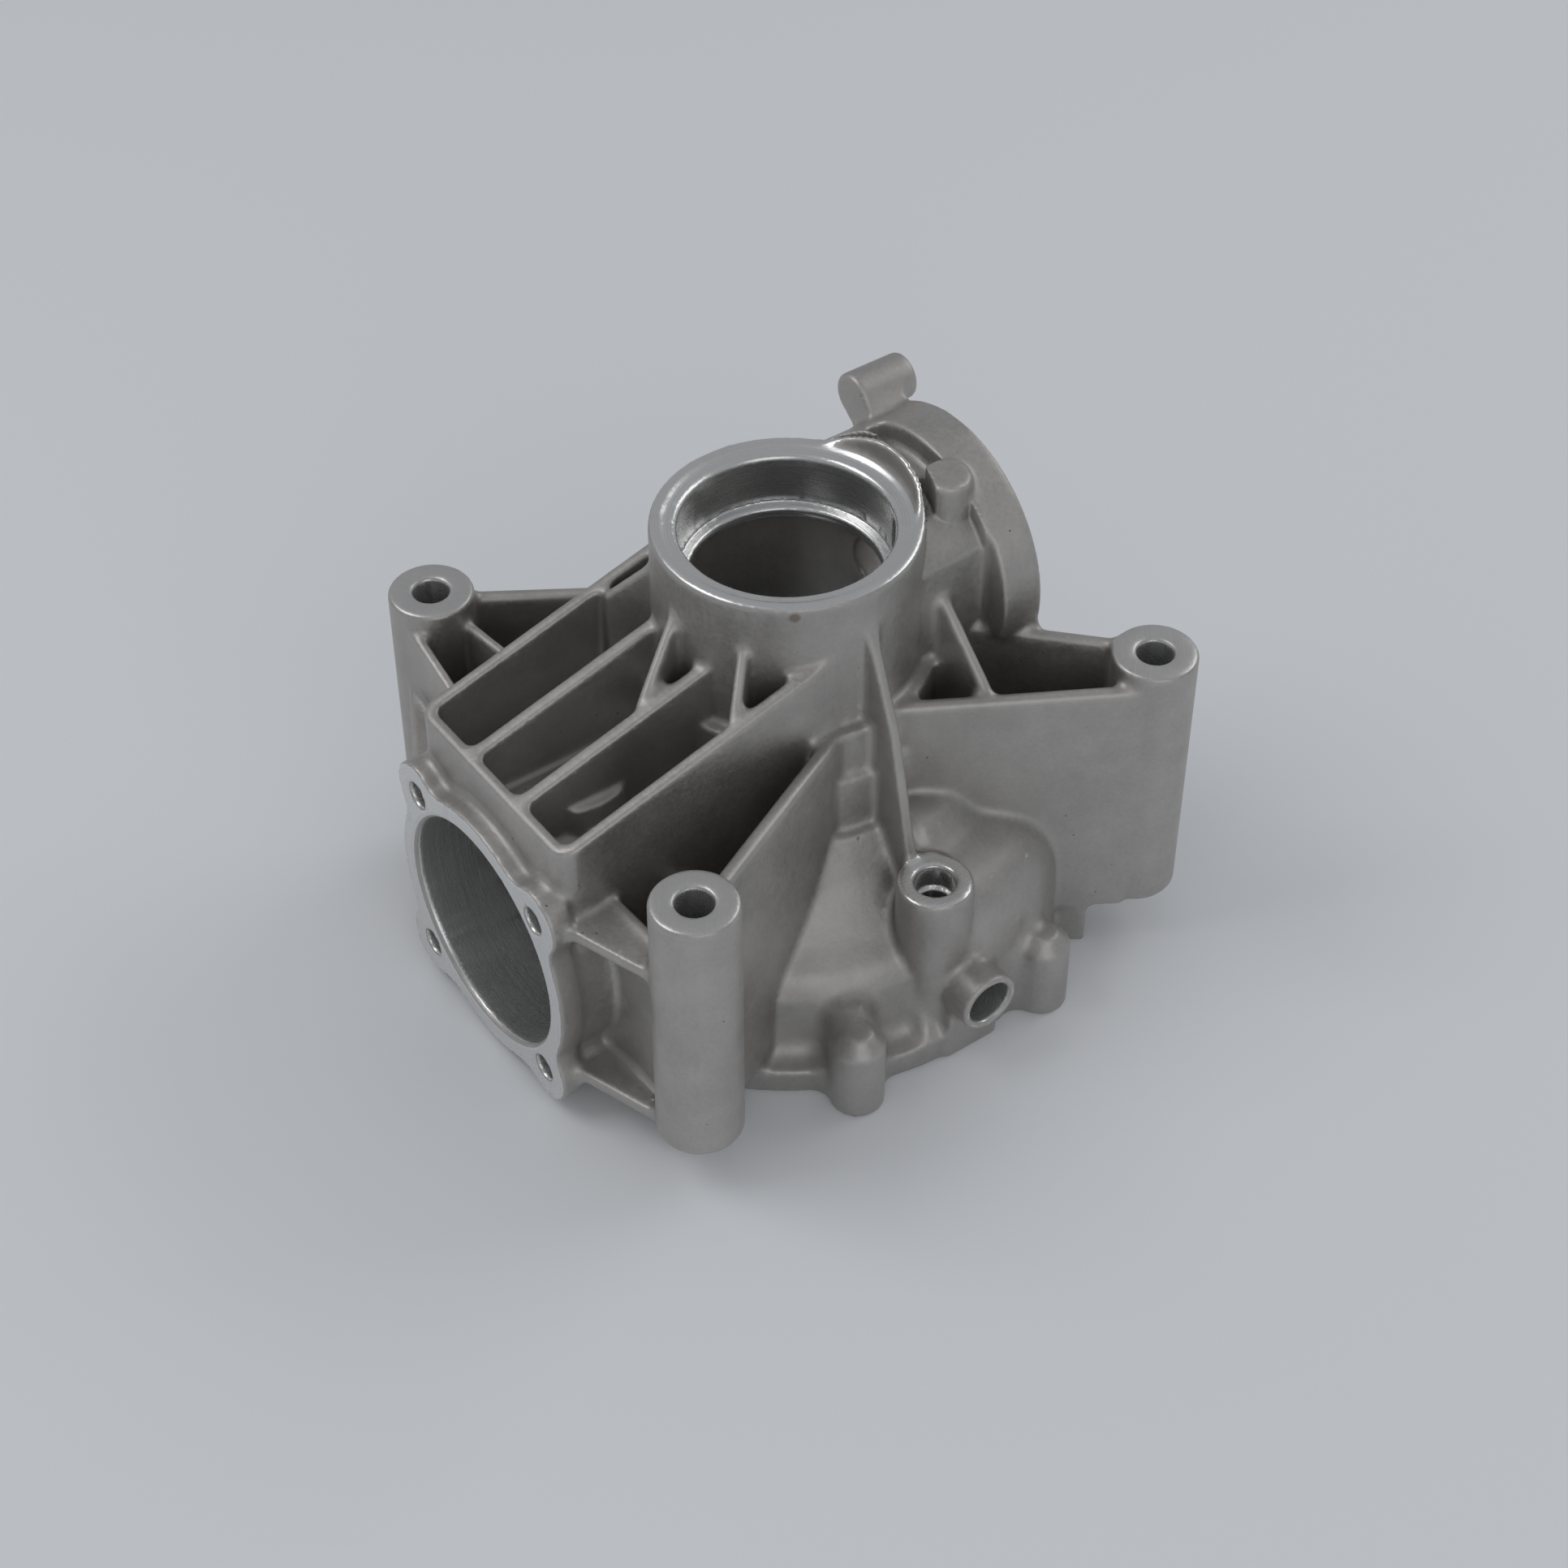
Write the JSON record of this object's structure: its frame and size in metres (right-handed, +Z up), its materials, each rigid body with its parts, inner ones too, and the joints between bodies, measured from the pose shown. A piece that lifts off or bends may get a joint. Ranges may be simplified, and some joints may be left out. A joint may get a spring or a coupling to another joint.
{
  "type": "gearbox housing",
  "caption": "Die cast right-angle gearbox housing with bearing collar, bored front flange, ribbed deck, bell-shaped gear chamber, rear drum and webbed mounting posts.",
  "frame": {"origin": "crown wheel axis at the cover face, on which the part stands", "axes": "+Z up the crown wheel axis out of the bearing collar, -Y out of the front flange, +X towards the side with the plug and port bosses"},
  "size_m": [0.1556, 0.1699, 0.1302],
  "materials": {
    "cast_aluminium": "satin as-cast aluminium, machined bores and faces"
  },
  "bodies": {
    "root": {"housing": "cast_aluminium"}
  },
  "joints": []
}
